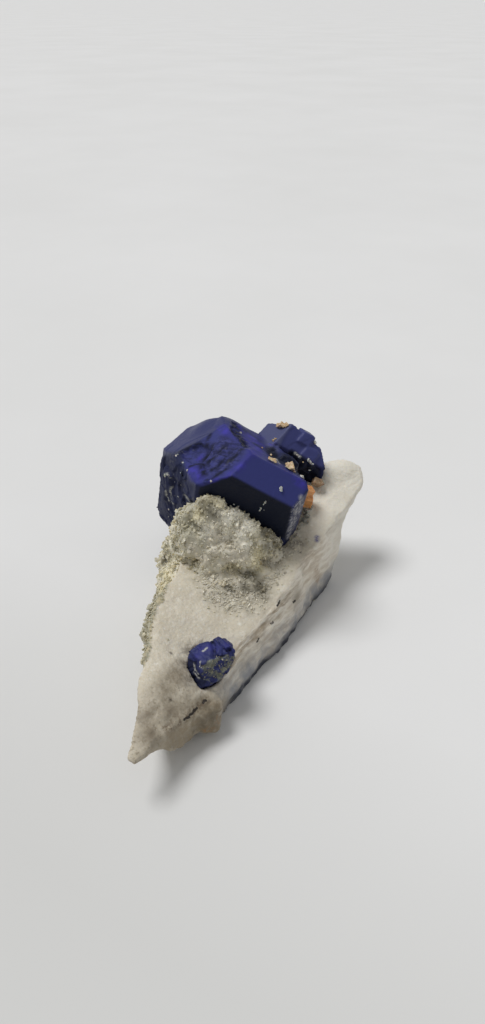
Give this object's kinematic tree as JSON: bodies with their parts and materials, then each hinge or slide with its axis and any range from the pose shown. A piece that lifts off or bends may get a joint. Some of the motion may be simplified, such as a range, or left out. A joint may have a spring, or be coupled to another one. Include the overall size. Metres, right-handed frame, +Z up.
{
  "type": "rough lazurite specimen",
  "caption": "Rough lazurite: deep blue faceted crystals and grey-green granular crust on a long pointed wedge of white marble that lies on its flat base.",
  "frame": {"origin": "bottom centre of the specimen's bounding box, on the plane it rests on", "axes": "+Z up from the flat base, +Y from the thin pointed tip towards the thick end that carries the large crystals"},
  "size_m": [0.0626, 0.1144, 0.0501],
  "materials": {
    "white_marble": "rough sugary marble, slightly translucent",
    "granular_crust": "granular, grey-green to yellowish, glassy grains",
    "lazurite": "deep ultramarine with violet patches, vitreous natural faces",
    "orange_mineral": "glassy orange crystal",
    "tan_mineral": "dull glassy tan crystal",
    "brown_mineral": "dull brown grain"
  },
  "bodies": {
    "root": {"marble_matrix": "white_marble", "granular_crust": "granular_crust", "lazurite_group": "lazurite", "lazurite_small": "lazurite", "orange_crystal": "orange_mineral", "tan_cube": "tan_mineral", "tan_fragment": "tan_mineral", "tan_cluster": "tan_mineral", "brown_grain": "brown_mineral"}
  },
  "joints": []
}
